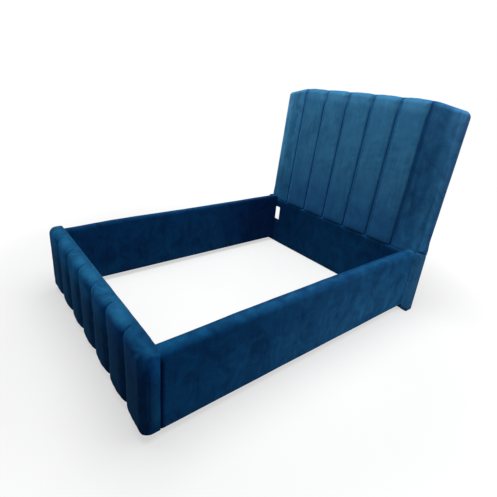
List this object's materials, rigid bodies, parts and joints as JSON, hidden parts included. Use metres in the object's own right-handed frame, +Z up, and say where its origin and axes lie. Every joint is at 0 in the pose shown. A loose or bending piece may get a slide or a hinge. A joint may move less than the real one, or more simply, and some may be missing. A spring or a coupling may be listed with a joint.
{
  "type": "upholstered bed frame",
  "caption": "Upholstered bed frame with a tall, slightly leaning channelled headboard and angled wings, padded side rails and a low channelled footboard around an open mattress well.",
  "frame": {"origin": "middle of the bed's footprint, on the floor", "axes": "+X to the right seen from the foot, +Y towards the headboard along the bed, +Z up"},
  "size_m": [1.67, 2.2692, 1.5249],
  "materials": {
    "velvet": "soft blue velvet pile over foam",
    "timber": "rough sawn softwood",
    "plywood": "plain sheet board",
    "back_lining": "dark woven lining over thin board",
    "steel": "bright zinc",
    "dark_plastic": "matt"
  },
  "bodies": {
    "root": {"headboard_channel_1": "velvet", "headboard_channel_2": "velvet", "headboard_channel_3": "velvet", "headboard_channel_4": "velvet", "headboard_channel_5": "velvet", "headboard_left_wing": "velvet", "headboard_right_wing": "velvet", "headboard_lower_pad": "velvet", "headboard_left_leg_cover": "velvet", "headboard_right_leg_cover": "velvet", "footboard_channel_1": "velvet", "footboard_channel_2": "velvet", "footboard_channel_3": "velvet", "footboard_channel_4": "velvet", "footboard_channel_5": "velvet", "footboard_channel_6": "velvet", "footboard_channel_7": "velvet", "footboard_inner_pad": "velvet", "left_rail_cover": "velvet", "right_rail_cover": "velvet", "headboard_left_leg": "timber", "headboard_right_leg": "timber", "headboard_left_stile": "timber", "headboard_right_stile": "timber", "headboard_top_rail": "timber", "headboard_middle_rail": "timber", "headboard_bottom_rail": "timber", "headboard_upper_studs": "timber", "headboard_lower_studs": "timber", "headboard_rail_blocks": "timber", "footboard_core": "timber", "footboard_rail_packers": "timber", "left_rail_board": "timber", "right_rail_board": "timber", "headboard_upper_board": "plywood", "headboard_lower_board": "plywood", "headboard_upper_back": "back_lining", "headboard_lower_back": "back_lining", "headboard_leg_bolts": "steel", "headboard_leg_nuts": "steel", "rail_hook_plates": "steel", "slotted_plates": "steel", "plate_screws": "steel", "headboard_glides": "dark_plastic", "footboard_feet": "dark_plastic"}
  },
  "joints": []
}
